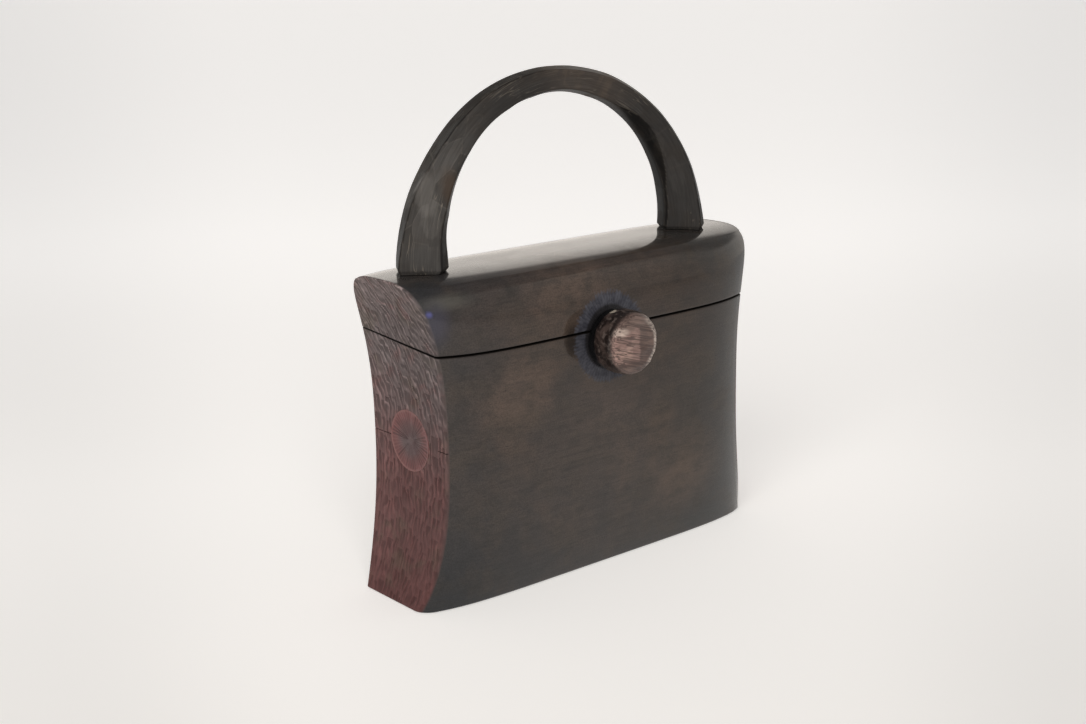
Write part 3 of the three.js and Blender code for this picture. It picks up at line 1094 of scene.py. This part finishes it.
ring_ridges = times(ring_lines, times(ring, 1.2))
relief = work_out("ADD", fine, ring_ridges)
relief = nudged(relief, end_streak, tooled)
add_bump(shader, relief, 0.22, 0.0003)
dress(wood, case, lid)

# %% [markdown]
# ## Handle wood
# The handle is stained charcoal. The knife facets differ a little in tone, and the facet facing the front is
# painted lighter than the rest as painted light. The ridges between them are painted paler, partly as rubbed
# wear and partly as painted highlight, and thin scratches run along the arch. The coordinates for these
# follow
# the arch: the length along it is read from an attribute, so streaks bend with the wood. On the left leg the
# cells of a Voronoi texture stand for short knife cuts, each with its own tone and a paler edge.

# %% Handle wood: stain
handle_wood, tree, shader, where = new_finish("handle_wood")
at_x, at_y, at_z = axes(where)
ridge = read_attribute("ridge")
tone = read_attribute("stroke_shade_and_tone")
run = read_attribute("along_arch")
from_centre = distance_to(where, (0.0, 0.0, arch_foot), (1.0, 0.0, 1.04))
lengthwise = add("ShaderNodeCombineXYZ", {0: run, 1: at_y, 2: from_centre}).outputs[0]
streak = effect(long_grain, Vector=lengthwise, Fineness=1000.0)["Streak"]
cloud = clouds(where, 60.0, 0.44, 0.64)
marks = effect(rub_marks, Vector=lengthwise, Scale=520.0, Width=0.02)["Mark"]
to_crown = soft_step(at_x, -0.082, -0.042)
fore = blend(to_crown, (0.052, 0.0487, 0.046), (0.033, 0.0308, 0.0294))
# Painted light: the facet shade from the attribute picks between the dark colour and the lit front colour.
colour = blend(tone, (0.0085, 0.008, 0.0078), fore)
crown = (0.014, 0.0, arch_foot + arch_rise)
gripped = spot_at(where, crown, (1.0, 0.0, 1.0), 0.04, 0.01, 0.9)
gripped = times(gripped, soft_step(cloud, 0.0, 1.0, 0.45, 1.0))
colour = blend(gripped, colour, (0.08, 0.064, 0.053))
colour = stained(colour, cloud, 0.25, (0.036, 0.028, 0.022))
colour = tinted(colour, soft_step(streak, 0.3, 0.7, 0.88, 1.12))
print("handle stain ready")

# %% Handle wood: scuffs and knife cuts
scooped = read_attribute("scooped")
on_left = soft_step(at_x, -0.064, -0.078, 0.08, 0.28)
rubbed = soft_step(streak, 0.36, 0.6, 0.7, 1.0)
scuff = times(soft_step(scooped, 0.0, 1.0), on_left)
scuff_reach = distance_to(where, (-0.0862, -0.0065, 0.195), (1.0, 1.0, 0.45))
scuff_reach = nudged(scuff_reach, cloud, 0.0016)
scuff = work_out("MAXIMUM", scuff, soft_step(scuff_reach, 0.0078, 0.004, 0.0, 0.75))
scuff = times(scuff, rubbed)
colour = blend(scuff, colour, (0.098, 0.091, 0.084))
whittled = stretched(lengthwise, (0.4, 1.0, 1.0))
on_leg = soft_step(at_x, -0.052, -0.074)
on_leg = times(on_leg, soft_step(at_z, 0.168, 0.183, 0.25, 1.0))
cells = {"Vector": whittled, "Scale": 150.0}
facets = add("ShaderNodeTexVoronoi", cells).outputs["Color"]
faceted = tinted(colour, soft_step(facets, 0.3, 0.7, 0.8, 1.22))
colour = blend(on_leg, colour, faceted)
to_corner = add("ShaderNodeTexVoronoi", cells, feature="DISTANCE_TO_EDGE").outputs["Distance"]
corner = times(soft_step(to_corner, 0.04, 0.0, 0.0, 0.3), on_leg)
corner = times(corner, soft_step(streak, 0.36, 0.6, 0.2, 1.0))
colour = blend(corner, colour, (0.115, 0.102, 0.09))
brown = spot_at(where, (-0.0755, -0.0115, 0.198), (1.0, 1.0, 0.45), 0.007, 0.0015, 0.55)
colour = blend(brown, colour, (0.06, 0.04, 0.028))
print("handle scuffs ready")

# %% Handle wood: ridges, scratches and shine
# The ridges are painted paler, partly as rubbed wear and partly as painted highlight.
colour = stained(colour, ridge, 0.5, (0.1, 0.086, 0.072))
mark_share = soft_step(at_x, -0.055, -0.078, 0.35, 0.8)
colour = stained(colour, marks, mark_share, (0.15, 0.13, 0.108))
rough = soft_step(cloud, 0.0, 1.0, 0.4, 0.55)
fill(shader, {"Base Color": colour, "Roughness": rough, "Specular IOR Level": 0.025})
fill(shader, {"Coat Weight": 0.06, "Coat Roughness": 0.24, "Coat IOR": 1.34})
add_bump(shader, work_out("SUBTRACT", streak, marks), 0.25, 0.0003)
dress(handle_wood, handle)

# %% [markdown]
# ## Knob wood
# The knob's sides are dark and polished by fingers. Its face is worn to pale wood in the middle, with level
# streaks of grain and darker left-over stain. A painted highlight sits at the upper left of the face, and
# the right side of its rim is painted bright as a highlight.

# %% Knob wood: face
knob_wood, tree, shader, where = new_finish("knob_wood")
at_x, at_y, at_z = axes(where)
tipped = add("ShaderNodeMapping", {"Vector": where, "Rotation": (0.0, -0.28, 0.0)}).outputs[0]
streak, pore = effect(long_grain, Vector=tipped, Fineness=1100.0)
level = stretched(where, (0.5, 1.0, 1.0))
patch = clouds(level, 150.0, 0.4, 0.62)
speck = clouds(where, 420.0, 0.52, 0.66)
on_face = soft_step(at_y, knob_face + 0.004, knob_face + 0.0012)
worn_across = work_out("ABSOLUTE", work_out("SUBTRACT", at_x, knob_x - 0.0068))
worn_up = work_out("ABSOLUTE", work_out("SUBTRACT", at_z, knob_height))
frayed = work_out("MAXIMUM", worn_across, worn_up)
frayed = nudged(frayed, patch, 0.0014)
worn = soft_step(frayed, 0.0092, 0.0076)
upper = soft_step(at_z, knob_height, knob_height + 0.01)
face = blend(patch, (0.08, 0.05, 0.042), (0.13, 0.084, 0.069))
face = stained(face, upper, 0.5, (0.17, 0.118, 0.1))
pale = blend(patch, (0.195, 0.12, 0.103), (0.31, 0.202, 0.166))
face = blend(worn, face, pale)
# Painted highlight: a pale gleam at the upper left of the face.
gleam_at = (knob_x - 0.0102, 0.0, knob_height + 0.0072)
gleam = spot_at(where, gleam_at, (0.55, 0.0, 1.2), 0.0036, 0.0012, 0.85)
face = blend(gleam, face, (0.42, 0.33, 0.28))
rim_reach = distance_to(where, (knob_x, 0.0, knob_height), (1.0, 0.0, 1.0))
# Painted highlight: the right side of the rim is painted pale.
lit_right_side = soft_step(at_x, knob_x + 0.004, knob_x + 0.011)
rim = times(soft_step(rim_reach, 0.0106, 0.0126), lit_right_side)
face = stained(face, rim, 0.9, (0.4, 0.335, 0.29))
face = tinted(face, soft_step(streak, 0.32, 0.68, 0.72, 1.22))
ruled = noise_value(stretched(tipped, (0.02, 1.0, 1.0)), 620.0, 2.0)
off_line = work_out("ABSOLUTE", work_out("SUBTRACT", ruled, 0.5))
face = blend(soft_step(off_line, 0.066, 0.014, 0.0, 0.78), face, (0.045, 0.027, 0.023))
print("knob face ready")

# %% Knob wood: flank and shine
flank = blend(patch, (0.01, 0.006, 0.005), (0.05, 0.034, 0.029))
flank = stained(flank, speck, 0.55, (0.12, 0.094, 0.082))
flank = blend(soft_step(at_y, -0.0432, -0.0423), flank, (0.0025, 0.0024, 0.0024))
# Painted highlight: a small pale glint on the upper left of the flank, near the back of the head.
flank_glint_at = (knob_x - 0.0043, -0.044, knob_height + 0.0151)
painted_flank_glint = spot_at(where, flank_glint_at, (0.45, 0.45, 1.0), 0.0013, 0.0007)
flank = blend(painted_flank_glint, flank, (0.36, 0.31, 0.25))
colour = blend(on_face, flank, face)
rough = soft_step(on_face, 0.0, 1.0, 0.36, 0.46)
fill(shader, {"Base Color": colour, "Roughness": rough, "Specular IOR Level": 0.45})
add_bump(shader, work_out("SUBTRACT", streak, pore), 0.4, 0.0003)
dress(knob_wood, knob)

# %% [markdown]
# ## Plug wood and brass
# The plugs are stained a dull red with a greyer middle. The two hidden hinges keep the shape of the solid
# model, which is already right, and only get a brass that has gone brown in clouds.

# %% Plug wood
plug_wood, tree, shader, where = new_finish("plug_wood")
from_axis = distance_to(where, (0.0, 0.0, plug_height), (0.0, 1.0, 1.0))
cloud = clouds(where, 150.0, 0.38, 0.64)
groove = read_attribute("ray_depth")
grey_share = soft_step(from_axis, 0.013, 0.006)
colour = blend(grey_share, (0.132, 0.051, 0.05), (0.084, 0.057, 0.058))
colour = stained(colour, cloud, 0.45, (0.085, 0.046, 0.044))
colour = blend(soft_step(groove, 0.35, 0.9, 0.0, 0.6), colour, (0.046, 0.024, 0.024))
outer = soft_step(from_axis, 0.0045, 0.008)
bare = times(soft_step(groove, 0.25, 0.0), outer)
colour = stained(colour, bare, 0.3, (0.2, 0.108, 0.102))
rim = times(soft_step(from_axis, plug_radius - 0.0012, plug_radius - 0.0005), cloud)
colour = stained(colour, rim, 0.4, (0.24, 0.12, 0.108))
rough = soft_step(cloud, 0.0, 1.0, 0.5, 0.66)
fill(shader, {"Base Color": colour, "Roughness": rough, "Specular IOR Level": 0.35})
add_bump(shader, cloud, 0.2, 0.0002)
dress(plug_wood, *plugs)

# %% Aged brass
brass, tree, shader, where = new_finish("aged_brass")
tarnish = clouds(where, 260.0, 0.38, 0.62)
rubs = effect(rub_marks, Vector=where, Scale=700.0, Width=0.03)["Mark"]
colour = blend(tarnish, (0.42, 0.29, 0.11), (0.16, 0.105, 0.05))
colour = stained(colour, rubs, 0.5, (0.62, 0.47, 0.22))
rough = soft_step(tarnish, 0.0, 1.0, 0.32, 0.55)
fill(shader, {"Base Color": colour, "Roughness": rough, "Metallic": 1.0})
add_bump(shader, tarnish, 0.15, 0.0002)
for leaf in ("case_leaf_left", "case_leaf_right", "lid_leaf_left", "lid_leaf_right"):
    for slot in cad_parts["hinge_" + leaf].material_slots:
        slot.material = brass
print("brass on four hinge leaves")
